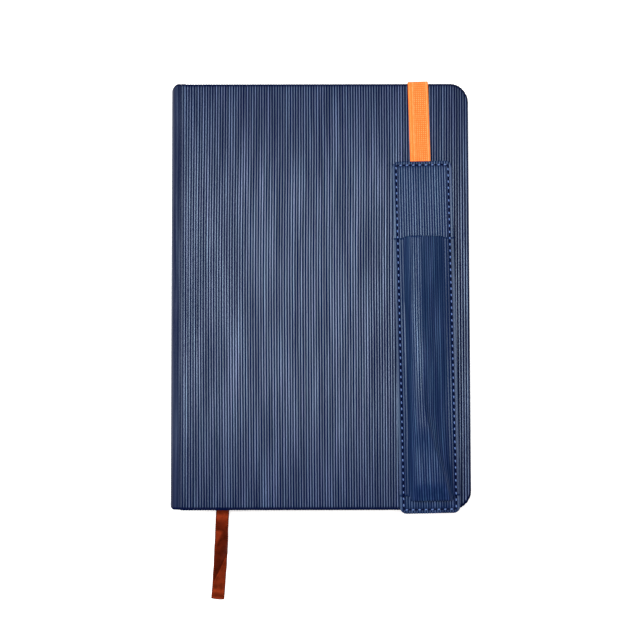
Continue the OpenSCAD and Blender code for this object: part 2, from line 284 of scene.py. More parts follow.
class Tree:
    """A material's node tree, with short calls for adding to it."""

    def __init__(self, name):
        self.material = bpy.data.materials.new(name)
        self.material.use_nodes = True
        self.nodes = self.material.node_tree.nodes
        self.nodes.clear()
        self.shader = self.add("ShaderNodeBsdfPrincipled")
        output = self.add("ShaderNodeOutputMaterial")
        self.link(self.shader.outputs[0], output.inputs[0])
        self.place = self.add("ShaderNodeTexCoord").outputs["Object"]

    def add(self, kind, **settings):
        node = self.nodes.new(kind)
        for key, value in settings.items():
            setattr(node, key, value)
        return node

    def link(self, source, target):
        self.material.node_tree.links.new(source, target)

    def put(self, value, target):
        """Links a socket, or sets a plain value."""
        if isinstance(value, bpy.types.NodeSocket):
            self.link(value, target)
        else:
            target.default_value = value

    def math(self, operation, *values):
        node = self.add("ShaderNodeMath", operation=operation)
        for value, target in zip(values, node.inputs):
            self.put(value, target)
        return node.outputs[0]

    def split(self, vector):
        """The three parts of a vector."""
        node = self.add("ShaderNodeSeparateXYZ")
        self.link(vector, node.inputs[0])
        return node.outputs

    def times(self, *values):
        """The product of two or more values."""
        return reduce(lambda a, b: self.math("MULTIPLY", a, b), values)

    def plus(self, first, second):
        return self.math("ADD", first, second)

    def mean(self, first, second, share=0.5):
        return self.plus(self.times(first, share), self.times(second, 1 - share))

    def attribute(self, name):
        return self.add("ShaderNodeAttribute", attribute_name=name).outputs["Fac"]

    def scaled(self, scale, turn=(0, 0, 0)):
        node = self.add("ShaderNodeMapping")
        self.link(self.place, node.inputs["Vector"])
        node.inputs["Scale"].default_value = scale
        node.inputs["Rotation"].default_value = turn
        return node.outputs[0]

    def noise(self, scale, detail=2.0, vector=None, roughness=0.5):
        node = self.add("ShaderNodeTexNoise")
        self.link(vector or self.place, node.inputs["Vector"])
        node.inputs["Scale"].default_value = scale
        node.inputs["Detail"].default_value = detail
        node.inputs["Roughness"].default_value = roughness
        return node.outputs["Fac"]

    def ramp(self, value, *stops):
        """Colour along the (place, colour) stops."""
        node = self.add("ShaderNodeValToRGB")
        self.link(value, node.inputs[0])
        elements = node.color_ramp.elements
        while len(elements) < len(stops):
            elements.new(0.5)
        for element, (place, shade) in zip(elements, stops):
            element.position = place
            element.color = (*shade, 1)
        return node.outputs[0]

    def blend(self, factor, first, second, mode="MIX"):
        node = self.add("ShaderNodeMix", data_type="RGBA", blend_type=mode)
        self.put(factor, node.inputs[0])
        for value, target in ((first, node.inputs[6]), (second, node.inputs[7])):
            self.put((*value, 1) if isinstance(value, tuple) else value, target)
        return node.outputs[2]

    def spread(self, value, low, high):
        """A 0 to 1 value, stretched to run from low to high."""
        node = self.add("ShaderNodeMapRange")
        self.link(value, node.inputs[0])
        node.inputs[3].default_value = low
        node.inputs[4].default_value = high
        return node.outputs[0]

    def bump(self, height, distance, strength=1.0):
        node = self.add("ShaderNodeBump")
        self.link(height, node.inputs["Height"])
        node.inputs["Distance"].default_value = distance
        node.inputs["Strength"].default_value = strength
        self.link(node.outputs[0], self.shader.inputs["Normal"])

    def vary(self, socket, value, middle):
        """Links a value that varies over the surface; middle is what stays where a link can't be kept."""
        self.shader.inputs[socket].default_value = middle
        self.link(value, self.shader.inputs[socket])

    def finish(self, base, roughness, **sockets):
        self.put(base, self.shader.inputs["Base Color"])
        self.put(roughness, self.shader.inputs["Roughness"])
        for name, value in sockets.items():
            self.shader.inputs[name.replace("_", " ")].default_value = value
        return self.material


def material(maker):
    """A fine material, named after its maker and made the first time that it is asked for."""
    name = "fine_" + maker.__name__
    return bpy.data.materials.get(name) or maker(name)


def ribbed_leather(name, groove, crest, gloss):
    tree = Tree(name)
    # The colour runs from painted shade in the grooves to a painted highlight on the ribs' tops, set by the rib height
    flank = tuple(a * 0.70 + b * 0.30 for a, b in zip(groove, crest))
    streak = tree.noise(1.0, 3, tree.scaled((760, 24, 760)))
    height = tree.plus(tree.attribute("rib"), tree.spread(streak, -0.26, 0.26))
    base = tree.ramp(height, (0.48, groove), (0.75, flank), (1.0, dyed(crest, 1.14)))
    # Painted sheen: the middle is painted paler than the margins, and the head, tail and fore-edge margins darker and
    # bluer, where the overhead light's broad reflection falls off
    x, y, _ = tree.split(tree.scaled((1 / COVER_HIGH.x, 1 / COVER_HIGH.y, 1)))
    painted_sheen_falloff = tree.ramp(tree.math("ABSOLUTE", y), (0.45, WHITE), (1.0, (0.58, 0.70, 0.86)))
    base = tree.blend(1.0, base, painted_sheen_falloff, "MULTIPLY")
    fore = tree.ramp(x, (0.80, WHITE), (0.90, (0.50, 0.62, 0.80)))
    base = tree.blend(1.0, base, fore, "MULTIPLY")
    # Some ribs lean to violet and some to green
    tint = tree.ramp(tree.noise(1.0, 2, tree.scaled((820, 40, 820))),
                     (0.35, (0.88, 1.04, 0.98)), (0.50, WHITE), (0.66, (1.18, 0.97, 1.05)))
    tree.bump(tree.noise(5200, 2), 0.02 * MM, 0.5)
    shine = tree.math("POWER", tree.math("MAXIMUM", height, 0.0), 2.6)
    tree.vary("Specular IOR Level", tree.times(shine, gloss, painted_sheen_falloff), 0.25)
    return tree.finish(tree.blend(1.0, base, tint, "MULTIPLY"), tree.spread(streak, 0.30, 0.40),
                       Specular_Tint=(0.70, 0.85, 1.0, 1))


def ribbed_skin(name):
    case = bpy.context.scene.logbook_case
    return ribbed_leather(name, tuple(case.groove), tuple(case.crest), case.gloss)


def sleeve_skin(name):
    band = bpy.context.scene.logbook_band
    return ribbed_leather(name, tuple(band.groove), tuple(band.crest), bpy.context.scene.logbook_case.gloss * 0.8)


def speckled(name, low, high, roughness, scale, detail, bump, stretch=None, turn=(0, 0, 0), **sockets):
    """A surface whose colour wanders between two (place, shade) stops."""
    tree = Tree(name)
    fleck = tree.noise(scale, detail, tree.scaled(stretch, turn) if stretch else None)
    if bump:
        tree.bump(fleck, bump * MM)
    return tree.finish(tree.ramp(fleck, low, high), roughness, **sockets)


def suede(name):
    return speckled(name, (0.2, (0.010, 0.015, 0.036)), (0.8, (0.030, 0.042, 0.085)), 0.9, 2600, 4, 0.05,
                    Sheen_Weight=0.3)


def woven_elastic(name):
    orange = bpy.context.scene.logbook_band.orange
    tree = Tree(name)
    speck = tree.noise(3400, 2)
    height = tree.plus(tree.attribute("weave"), tree.spread(speck, -0.25, 0.25))
    deep = dyed(orange, 0.92, 0.62, 0.40)
    pale = tuple(min(1.0, c + more) for c, more in zip(dyed(orange, 1.0, 1.5, 2.0), (0.03, 0.16, 0.16)))
    tree.bump(speck, 0.03 * MM, 0.6)
    return tree.finish(tree.ramp(height, (0.15, deep), (0.6, tuple(orange)), (0.95, pale)), 0.72,
                       Specular_IOR_Level=0.25, Sheen_Weight=0.15)


def satin_ribbon(name):
    shade = tuple(bpy.context.scene.logbook_ribbon.satin)
    tree = Tree(name)
    across, down = tree.attribute("across"), tree.attribute("down")
    fine = tree.noise(1.0, 2, tree.scaled((5200, 900, 1500)))
    mottle = tree.noise(330, 3)
    # The colour's paler mottled patches are painted sheen
    base = tree.ramp(tree.mean(fine, mottle, 0.35), (0.36, dyed(shade, 0.80)), (0.64, dyed(shade, 1.78)))
    # Painted sheen: the satin is painted bright where it faces straight up and dull where it slopes away
    _, _, upward = tree.split(tree.add("ShaderNodeNewGeometry").outputs["Normal"])
    painted_satin_sheen = tree.ramp(upward, (0.950, (0.50, 0.44, 0.43)), (0.985, (1.40, 1.45, 1.45)),
                    (0.998, (0.50, 0.48, 0.48)))
    base = tree.blend(1.0, base, painted_satin_sheen, "MULTIPLY")
    # Looped selvedges
    edge = tree.math("GREATER_THAN", tree.math("ABSOLUTE", across), 0.82)
    loops = tree.math("SINE", tree.times(down, math.tau / (1.0 * MM)))
    knot = tree.ramp(loops, (0.25, dyed(shade, 0.20)), (0.75, dyed(shade, 2.6)))
    weft = tree.math("SINE", tree.times(down, math.tau / (0.22 * MM)))
    tree.bump(tree.plus(tree.times(weft, 0.3), fine), 0.02 * MM, 0.6)
    tree.vary("Specular IOR Level", tree.spread(mottle, 0.0, 0.50), 0.25)
    return tree.finish(tree.blend(edge, base, knot), tree.spread(mottle, 0.34, 0.46),
                       Specular_Tint=(1.0, 0.14, 0.04, 1))


def paper_tree(name, shade):
    tree = Tree(name)
    fibre = tree.noise(900, 4)
    cloud = tree.noise(16, 2)
    base = tree.ramp(tree.mean(fibre, cloud), (0.3, dyed(shade, 0.93)), (0.7, dyed(shade, 1.05)))
    tree.bump(fibre, 0.02 * MM, 0.5)
    return tree, base


def paper(name):
    tree, base = paper_tree(name, tuple(bpy.context.scene.logbook_block.paper))
    return tree.finish(base, 0.85, Specular_IOR_Level=0.2)


def endpaper(name):
    tree, base = paper_tree(name, dyed(bpy.context.scene.logbook_block.paper, 0.93, 0.91, 0.86))
    return tree.finish(base, 0.8, Specular_IOR_Level=0.25)


def ruled_paper(name):
    """Paper with a blank log table: a double head rule, lines for the entries and columns."""
    block = bpy.context.scene.logbook_block
    tree, base = paper_tree(name, tuple(block.paper))
    x, y, _ = tree.split(tree.place)
    top, bottom, left, right = 84 * MM, -91 * MM, -58 * MM, 62 * MM

    def stroke(value, at, half=0.16 * MM):
        return tree.math("COMPARE", value, at, half)

    def inside(value, low, high):
        return tree.times(tree.math("GREATER_THAN", value, low), tree.math("LESS_THAN", value, high))

    pitch = 7 * MM
    phase = tree.math("PINGPONG", tree.math("SUBTRACT", y, bottom), pitch / 2)
    lines = tree.times(tree.math("LESS_THAN", phase, 0.09 * MM), inside(y, bottom - 0.5 * MM, top))
    for at in (top, top + 8 * MM, top + 8.8 * MM):
        lines = tree.math("MAXIMUM", lines, stroke(y, at))
    lines = tree.times(lines, inside(x, left, right))
    columns = stroke(x, left)
    for share in (0.14, 0.27, 0.40, 0.52, 0.62, 0.72, 0.82, 1.0):
        columns = tree.math("MAXIMUM", columns, stroke(x, left + (right - left) * share, 0.1 * MM))
    columns = tree.times(columns, inside(y, bottom, top + 8 * MM))
    ink = tree.math("MAXIMUM", lines, columns)
    band = tree.times(inside(y, top, top + 8 * MM), inside(x, left, right))
    tinted = tree.blend(tree.times(band, 0.35), base, (0.50, 0.62, 0.70))
    return tree.finish(tree.blend(tree.times(ink, 0.75), tinted, tuple(block.ruling)), 0.85, Specular_IOR_Level=0.2)


def greyboard(name):
    return speckled(name, (0.3, (0.16, 0.145, 0.12)), (0.7, (0.34, 0.31, 0.26)), 0.9, 1500, 5, 0.05)


def gauze(name):
    tree = Tree(name)
    weave = tree.add("ShaderNodeTexChecker")
    tree.link(tree.place, weave.inputs["Vector"])
    weave.inputs["Scale"].default_value = 1400
    tree.bump(weave.outputs["Fac"], 0.06 * MM)
    base = tree.blend(weave.outputs["Fac"], (0.62, 0.58, 0.48), (0.36, 0.33, 0.27))
    return tree.finish(base, 0.9)


def kraft(name):
    return speckled(name, (0.3, (0.30, 0.19, 0.10)), (0.7, (0.46, 0.31, 0.18)), 0.85, 1.0, 4, 0.03, (900, 240, 900))


def striped_band(name):
    tree = Tree(name)
    stripe = tree.attribute("stripe")
    fuzz = tree.noise(5000, 2)
    tree.bump(fuzz, 0.03 * MM)
    base = tree.ramp(tree.plus(stripe, tree.spread(fuzz, -0.12, 0.12)),
                     (0.45, (0.020, 0.032, 0.085)), (0.55, (0.62, 0.57, 0.47)))
    return tree.finish(base, 0.6, Sheen_Weight=0.3)


def twisted_thread(name, shade):
    return speckled(name, (0.3, dyed(shade, 0.55)), (0.7, dyed(shade, 1.5)), 0.5, 1.0, 2, 0.06,
                    (3800, 3800, 1600), (0, 0, 0.7), Specular_IOR_Level=0.5, Sheen_Weight=0.2)


def sleeve_thread(name):
    return twisted_thread(name, tuple(bpy.context.scene.logbook_band.thread))


def linen_thread(name):
    return twisted_thread(name, (0.62, 0.58, 0.50))


# Painted shade for the needle holes, which are flat discs on the skin and not cut through
def needle_dark(name):
    return speckled(name, (0.2, (0.0012, 0.0020, 0.010)), (0.8, (0.004, 0.007, 0.032)), 0.95, 3000, 2, 0.0,
                    Specular_IOR_Level=0.0)


def pale_floor(name):
    tree = Tree(name)
    cloud = tree.noise(3, 2)
    tree.link(tree.ramp(cloud, (0.3, dyed(WHITE, 0.96)), (0.7, WHITE)), tree.shader.inputs["Emission Color"])
    return tree.finish(tree.ramp(cloud, (0.3, dyed(WHITE, 0.90)), (0.7, dyed(WHITE, 0.93))), 0.9,
                       Specular_IOR_Level=0.1, Emission_Strength=0.55)


# Shapes of the ribbed skin

def over_edge(distance, radius, depth):
    """Out, down and the normal's two parts, after going distance over an edge and on underneath."""
    arc = radius * math.pi / 2
    side = max(0.0, depth - 2 * radius)
    if distance <= arc:
        a = distance / radius
        return radius * math.sin(a), radius * (1 - math.cos(a)), math.sin(a), math.cos(a)
    distance -= arc
    if distance <= side:
        return radius, radius + distance, 1.0, 0.0
    distance -= side
    if distance <= arc:
        a = distance / radius
        return radius * math.cos(a), radius + side + radius * math.sin(a), math.cos(a), -math.sin(a)
    return arc - distance, 2 * radius + side, 0.0, -1.0


def rib_height(turns):
    """0 in a groove and 1 on a rib's top, after that many ribs."""
    return abs(math.sin(math.pi * turns)) ** 0.75


class Panel:
    """A flat cut of skin with round corners, whose edges turn over: low and high are where its flat face
    ends across, and half where it ends along."""

    def __init__(self, low, high, half, corner, round_low=False):
        self.low, self.high, self.half, self.corner, self.round_low = low, high, half, corner, round_low

    def outline(self, s, end):
        """Half length at s, and the way that the edge faces there."""
        reach = 0.0
        if s > self.high - self.corner:
            reach = (s - self.high) / self.corner + 1
        elif self.round_low and s < self.low + self.corner:
            reach = (s - self.low) / self.corner - 1
        reach = min(1.0, max(-1.0, reach))
        rise = math.sqrt(1 - reach * reach)
        return self.half - self.corner * (1 - rise), reach, rise

    def point(self, s, share, side, end, radius, depth):
        """Place and normal on the flat cut: s across, share of the half length along, and how far
        past the side or the end."""
        half, dx, dy = self.outline(s, end or share)
        past = max(abs(side), abs(end))
        if past == 0:
            return Vector((s, half * share, 0)), Vector((0, 0, 1))
        if end == 0:
            dx, dy = math.copysign(1, side), 0.0
        out, down, n_out, n_up = over_edge(past, radius, depth)
        dy = math.copysign(dy, end) if end else 0.0
        place = Vector((s + dx * out, half * share + dy * out, -down))
        return place, Vector((dx * n_out, dy * n_out, n_up))


class CasePanel(Panel):
    """The case's skin, rolled out flat from the front cover's start at the joint."""

    def outline(self, s, end):
        half, dx, dy = super().outline(s, end)
        if end > 0:
            pull = along(s, [(-8.2 * MM, 2.0 * MM), (-1.4 * MM, -0.5 * MM), (0.8 * MM, -0.25 * MM), (2.8 * MM, 0.0)])
        else:
            pull = along(s, [(-8.2 * MM, 1.5 * MM), (-3.4 * MM, 0.0)])
        return half - pull, dx, dy


def end_rows(depth, radius, run):
    """Distances past an edge at which a sheet has its rows."""
    arc, side = radius * math.pi / 2, max(0.0, depth - 2 * radius)
    turns = [arc * k / 4 for k in range(1, 5)]
    return [*turns, arc + side / 2, *[arc + side + t - turns[0] for t in turns], 2 * arc + side, 2 * arc + side + run]


def sheet_rows(middle, past):
    """(share of the half length, distance past the end) for each row, tail to head."""
    inset = 0.009
    shares = [-1.0, *[(k / middle * 2 - 1) * (1 - inset) for k in range(middle + 1)], 1.0]
    inner = [(share, 0.0) for share in shares]
    return [(-1.0, -d) for d in reversed(past)] + inner + [(1.0, d) for d in past]


def case_path(s, case):
    """Place and outward way, in X and Z, on the case's outer face, s past the front joint."""
    radius = case.joint_radius
    arc = radius * math.pi / 2
    if s >= 0:
        return COVER_LOW.x + s, COVER_HIGH.z, 0.0, 1.0
    if s > -arc:
        a = -s / radius
        return (COVER_LOW.x - radius * math.sin(a), COVER_HIGH.z - radius * (1 - math.cos(a)),
                -math.sin(a), math.cos(a))
    return SPINE_LOW.x, COVER_HIGH.z - radius + s + arc, -1.0, 0.0


def case_depth(s, case):
    """Depth of the turned-over skin: a board's edge, thin skin at the joint, or the spine's edge."""
    cover = COVER_HIGH.z - COVER_LOW.z
    arc = case.joint_radius * math.pi / 2
    thin = 1.2 * MM
    if s > -arc:
        return thin + (cover - thin) * smooth(s, 0.0, 1.4 * MM)
    inset = min(-arc - s, s + arc + SPINE_HIGH.z - SPINE_LOW.z)
    return thin + (SPINE_HIGH.x - SPINE_LOW.x - thin) * smooth(inset, 0.0, 0.5 * MM)


def case_sheet(columns, rib_share, case, seed):
    """A stretch of the case's skin as a bmesh; columns are (s, side, ribs from the joint)."""
    cover = COVER_HIGH.z - COVER_LOW.z
    radius = case.edge_radius
    flat_half = COVER_HIGH.y - radius
    high = COVER_HIGH.x - COVER_LOW.x - radius
    slow_sway, quick_sway = 0.55 * MM, 0.06 * MM
    panel = CasePanel(0.0, high, flat_half, case.corner_radius - radius)
    rows = sheet_rows(26, end_rows(cover, radius, 5.5 * MM))
    bm = grid(len(columns) - 1, len(rows) - 1)
    ribs = bm.verts.layers.float.new("rib")
    for v in bm.verts:
        s, side, turns = columns[int(v.co.x)]
        share, end = rows[int(v.co.y)]
        depth = case_depth(s, case)
        edge = min(radius, depth / 2)
        flat, normal = panel.point(s, share, side, end, edge, depth)
        y = share * flat_half
        high_rib = rib_height(turns) * (0.84 + 0.16 * wander(turns * 0.9, y * 26, seed))
        rest, swing = rib_share(s)
        high_rib = rest + swing * high_rib
        flat += normal * (high_rib - 1) * case.rib_depth
        sway = slow_sway * wander(s * 13, y * 13, seed + 1) + quick_sway * wander(s * 260, y * 60, seed + 2)
        sway *= smooth(s, 0, 12 * MM) * smooth(high - s, 0, 8 * MM)
        x, z, nx, nz = case_path(flat.x + sway, case)
        v.co = Vector((x + nx * flat.z, flat.y, z + nz * flat.z))
        # The ribs' colour fades darker towards the tail and the head: painted shade where the skin rounds over those
        # edges
        inside = (1 - abs(share)) * flat_half - abs(end)
        painted_edge_shade = (0.80 if share < 0 else 0.35) * (1 - smooth(inside, -0.2 * MM, 0.85 * MM))
        v[ribs] = high_rib * (0.5 if abs(side) + abs(end) > 3.5 * MM else 1.0 - painted_edge_shade)
    bmesh.ops.remove_doubles(bm, verts=bm.verts, dist=WELD)
    return bm


def turn_over(bm):
    """Mirrors a front piece to the back of the case."""
    bmesh.ops.scale(bm, vec=(1, 1, -1), verts=bm.verts)
    bmesh.ops.translate(bm, vec=(0, 0, 2 * MIDDLE_Z), verts=bm.verts)
    bmesh.ops.reverse_faces(bm, faces=bm.faces)


class LogbookOperator:
    """Shared by the operators below."""

    bl_options = {"REGISTER", "UNDO"}


class LOGBOOK_OT_stage(LogbookOperator, bpy.types.Operator):
    """Set up the floor, the light and the camera"""

    bl_idname = "logbook.stage"
    bl_label = "Stage"

    def execute(self, context):
        studio = context.scene.logbook_studio
        scene = context.scene
        scene.view_settings.view_transform = "Standard"
        target = Vector((studio.look_x, studio.look_y, COVER_HIGH.z))
        back = Vector((0, -math.sin(studio.tilt), math.cos(studio.tilt)))
        data = bpy.data.cameras.new("camera")
        data.sensor_width = 36
        data.lens = data.sensor_width / 2 / math.tan(studio.field / 2)
        data.clip_start, data.clip_end = 0.01, 20
        camera = bpy.data.objects.new("camera", data)
        camera.location = target + back * studio.distance
        facing = (-back).to_track_quat("-Z", "Y").to_matrix()
        camera.rotation_euler = (facing @ Matrix.Rotation(studio.roll, 3, "Z")).to_euler()
        scene.collection.objects.link(camera)
        scene.camera = camera

        bm = bmesh.new()
        bmesh.ops.create_circle(bm, cap_ends=True, segments=96, radius=4)
        mesh = bpy.data.meshes.new("floor")
        bm.to_mesh(mesh)
        bm.free()
        mesh.materials.append(material(pale_floor))
        floor = bpy.data.objects.new("floor", mesh)
        scene.collection.objects.link(floor)

        def lamp(name, power, size, at, aim):
            light = bpy.data.lights.new(name, "AREA")
            light.energy, light.size = power, size
            holder = bpy.data.objects.new(name, light)
            holder.location = at
            holder.rotation_euler = (Vector(aim) - Vector(at)).to_track_quat("-Z", "Y").to_euler()
            scene.collection.objects.link(holder)

        lamp("key", studio.key_power, 0.42, (-0.06, 0.11, 1.3), (0, 0, 0))
        lamp("side", studio.side_power, 0.7, (-1.0, 0.15, 0.75), (0, 0, 0))
        world = bpy.data.worlds.new("sky")
        world.use_nodes = True
        shade, strength = world.node_tree.nodes["Background"].inputs[:2]
        shade.default_value = (1, 1, 1, 1)
        strength.default_value = studio.sky
        scene.world = world
        return {"FINISHED"}


def ribbon_strip(route, width, half_turn=None):
    """A ribbon's upper face along a route, with how far across and down it each point is."""
    points = [Vector(p) for p in route]
    reach = [0.0, *accumulate((b - a).length for a, b in zip(points, points[1:]))]
    total = reach[-1]

    def at(distance):
        distance = min(total, max(0.0, distance))
        k = max(i for i in range(len(points) - 1) if reach[i] <= distance)
        t = (distance - reach[k]) / (reach[k + 1] - reach[k])
        a, b = points[k], points[k + 1]
        before, after = points[max(k - 1, 0)], points[min(k + 2, len(points) - 1)]
        return (a * 2 + (b - before) * t + (before * 2 - a * 5 + b * 4 - after) * t * t
                + (a * 3 - before - b * 3 + after) * t ** 3) / 2

    columns, rows = 12, max(2, round(total / (0.5 * MM)))
    bm = grid(columns, rows)
    across_layer = bm.verts.layers.float.new("across")
    down_layer = bm.verts.layers.float.new("down")
    for v in bm.verts:
        across = 1 - v.co.x / columns * 2
        down = v.co.y / rows * total
        if half_turn:
            down += half_turn(across) * smooth(down, total * 0.8, total)
        centre, ahead = at(down), at(down + 0.2 * MM) - at(down - 0.2 * MM)
        side = Vector((ahead.y, -ahead.x, 0)).normalized()
        v.co = centre + side * across * width / 2
        v[across_layer] = across
        v[down_layer] = down
    return bm, at, total


class LOGBOOK_OT_ribbon(LogbookOperator, bpy.types.Operator):
    """Lay the ribbon marker in the block, with its free end on the table"""

    bl_idname = "logbook.ribbon"
    bl_label = "Ribbon marker"

    def execute(self, context):
        ribbon = context.scene.logbook_ribbon
        bm, at, total = ribbon_strip(RIBBON_ROUTE, ribbon.width, lambda across: -0.5 * MM * across * across)
        ups = bm.verts.layers.float["across"]
        downs = bm.verts.layers.float["down"]
        drop, blend = 12.8 * MM, 3 * MM
        crease, crease_slant = 20.9 * MM, 8.6 * MM
        hump_at, hump_spread, hump = 46.3 * MM, 2.2 * MM, 0.38 * MM
        from_z, rest_z = at(drop).z, 0.2 * MM
        for v in bm.verts:
            # It comes down to the table along a fold that runs slantwise across it
            across, down = v[ups], v[downs]
            run = crease + crease_slant * across
            slant = from_z + (rest_z - from_z) * min(1.0, (down - drop) / run)
            if down > drop:
                v.co.z = at(down).z + (slant - at(down).z) * smooth(down, drop, drop + blend)
            v.co.z += hump * math.exp(-((down - hump_at) / hump_spread) ** 2)
            v.co.z += 0.10 * MM * (1 + wander(across * 1.5, down * 160, 3))
            v.co.z = max(v.co.z, 0.12 * MM) + ribbon.thickness
        tail = make_piece("ribbon_tail_satin", bm, [satin_ribbon], "ribbon", ["ribbon_tail"], body="back_half",
                          thickness=ribbon.thickness)
        path = [at(total * k / 40) for k in range(41)]
        measured = sum((b - a).length for a, b in zip(path, path[1:]))

        start = Vector((RIBBON_LOW.x + ribbon.width / 2, RIBBON_HIGH.y, SPLIT_Z))
        end = Vector(RIBBON_ROUTE[0])
        bm, at, total = ribbon_strip([start.lerp(end, k / 8) for k in range(9)], ribbon.width)
        for v in bm.verts:
            v.co.z = SPLIT_Z + ribbon.thickness / 2 + (end.z - SPLIT_Z) * smooth(v.co.y, -90 * MM, -102 * MM)
        make_piece("ribbon_marker_satin", bm, [satin_ribbon], "ribbon", ["ribbon_marker"], body="back_half",
                   thickness=ribbon.thickness)
        return {"FINISHED"}


class LOGBOOK_OT_case_skin(LogbookOperator, bpy.types.Operator):
    """Wrap the ribbed skin round both boards, the joints and the spine"""

    bl_idname = "logbook.case_skin"
    bl_label = "Case skin"

    def execute(self, context):
        case = context.scene.logbook_case
        arc = case.joint_radius * math.pi / 2
        spine = SPINE_HIGH.z - SPINE_LOW.z
        top, bottom = COVER_HIGH.z, 2 * MIDDLE_Z - COVER_HIGH.z
        high = COVER_HIGH.x - COVER_LOW.x - case.edge_radius
        cover_ribs, strip_ribs = 116, 6
        step = case.rib_pitch / PER_RIB
        cover_columns = [(min(k * step, high), max(0.0, k * step - high), k / PER_RIB)
                         for k in range(cover_ribs * PER_RIB + 1)]

        def strip_columns(start, end):
            count = strip_ribs * PER_RIB
            return [(start + (end - start) * k / count, 0.0, k / PER_RIB) for k in range(count + 1)]

        def add(name, bm, node, **riding):
            make_piece(name, bm, [ribbed_skin], "cover_skin", [node], thickness=case.skin_thickness, **riding)

        def relief(s):
            """What the ribs stand on and how far they rise from it, weaker over the joint and the spine."""
            # The low rib value over the joint and the spine also paints the skin there darker: painted shade where it
            # rounds away from the light
            strong = smooth(s, -0.4 * MM, 2.2 * MM)
            return 0.47 * (1 - strong), 0.10 + 0.90 * strong

        for side, seed in (("front", 1), ("back", 5)):
            bm = case_sheet(cover_columns, relief, case, seed)
            if side == "back":
                turn_over(bm)
            add(side + "_cover_ribbed", bm, side + "_cover_skin",
                body="front_cover" if side == "front" else "back_half")

            bm = case_sheet(strip_columns(-arc, 0.0), relief, case, seed)
            spine_end = (SPINE_LOW.x, 0, top - case.joint_radius)
            cover_end = (COVER_LOW.x, 0, top)
            bend = ("spine", "front_cover", spine_end, cover_end)
            if side == "back":
                turn_over(bm)
                bend = ("back_half", "spine", (COVER_LOW.x, 0, bottom), (SPINE_LOW.x, 0, bottom + case.joint_radius))
            add(side + "_joint_ribbed", bm, side + "_joint_skin", bend=bend)

        add("spine_ribbed", case_sheet(strip_columns(-arc - spine, -arc), relief, case, 1), "spine_skin", body="spine")
        return {"FINISHED"}


class LOGBOOK_OT_boards(LogbookOperator, bpy.types.Operator):
    """Give the boards, the endpapers, the gauze flaps and the sleeve's lining their materials"""

    bl_idname = "logbook.boards"
    bl_label = "Boards and endpapers"

    def execute(self, context):
        for maker, names in (
            (greyboard, ("front_board", "back_board", "spine_board")),
            (endpaper, ("front_pastedown", "back_pastedown", "front_flyleaf", "back_flyleaf")),
            (gauze, ("front_mull_flap", "back_mull_flap")),
            (suede, ("sleeve_lining",)),
        ):
            for name in names:
                finish_node(name, maker)
        return {"FINISHED"}


class LOGBOOK_OT_signatures(LogbookOperator, bpy.types.Operator):
    """Fold and nest the sheets of each signature"""

    bl_idname = "logbook.signatures"
    bl_label = "Signatures"

    def execute(self, context):
        block = context.scene.logbook_block
        dice = random.Random(11)
        radius = block.leaf_radius
        fold_steps, corner_steps = 8, 7
        for number in range(1, 9):
            low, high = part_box(f"signature_{number}")
            leaves = 2 * block.sheets
            pitch = (high.z - low.z) / leaves
            centre_z = (high.z + low.z) / 2
            fold_x = low.x + (high.z - low.z) / 2
            bm = bmesh.new()
            for k in range(block.sheets):
                fold = centre_z - low.z - (k + 0.5) * pitch
                stops = []
                for leaf in (-1, 1):
                    edge = high.x - dice.random() * block.trim_error
                    slip = (dice.random() - 0.5) * block.trim_error
                    flat = [(edge - radius + radius * math.sin(math.pi / 2 * c / corner_steps), c / corner_steps)
                            for c in range(corner_steps + 1)]
                    run = [(x, centre_z + leaf * fold, high.y - radius * (1 - math.cos(math.pi / 2 * c)), slip)
                           for x, c in [(fold_x, 0)] + flat]
                    stops.append(run)
                turns = [-math.pi / 2 - math.pi * c / fold_steps for c in range(1, fold_steps)]
                bends = [(fold_x + fold * math.cos(a), centre_z + fold * math.sin(a), high.y, 0.0) for a in turns]
                profile = list(reversed(stops[0])) + bends + stops[1]
                sheet = grid(len(profile) - 1, 1)
                for v in sheet.verts:
                    x, z, half, slip = profile[int(v.co.x)]
                    v.co = Vector((x, (v.co.y * 2 - 1) * half + slip, z))
                bmesh.ops.recalc_face_normals(sheet, faces=sheet.faces)
                take_in(bm, sheet)
            bmesh.ops.solidify(bm, geom=bm.faces, thickness=block.leaf_thickness)
            bmesh.ops.recalc_face_normals(bm, faces=bm.faces)
            shift = centre_z - sum(v.co.z for v in bm.verts) / len(bm.verts)
            bmesh.ops.translate(bm, vec=(0, 0, shift), verts=bm.verts)
            bm.normal_update()
            for face in bm.faces:
                height = face.calc_center_median().z
                upper = number == 5 and face.normal.z > 0.9 and height > high.z - pitch
                under = number == 4 and face.normal.z < -0.9 and height < low.z + pitch
                face.material_index = 1 if upper or under else 0
            body = f"leaves_{number}" if number <= 4 else "back_half"
            make_piece(f"signature_{number}_leaves", bm, [paper, ruled_paper], "pages", [f"signature_{number}"],
                       body=body, sharp=30)
        return {"FINISHED"}


def split_levels():
    """Heights for a strip down the block's back, with more of them where the block opens."""
    reach = 0.32 * MM
    middle = [SPLIT_Z - reach + 2 * reach * k / 12 for k in range(13)]
    return [BLOCK_LOW.z, *middle, BLOCK_HIGH.z]


def split_bend():
    reach = 0.30 * MM
    return "back_half", "leaves_4", (0, 0, SPLIT_Z - reach), (0, 0, SPLIT_Z + reach)


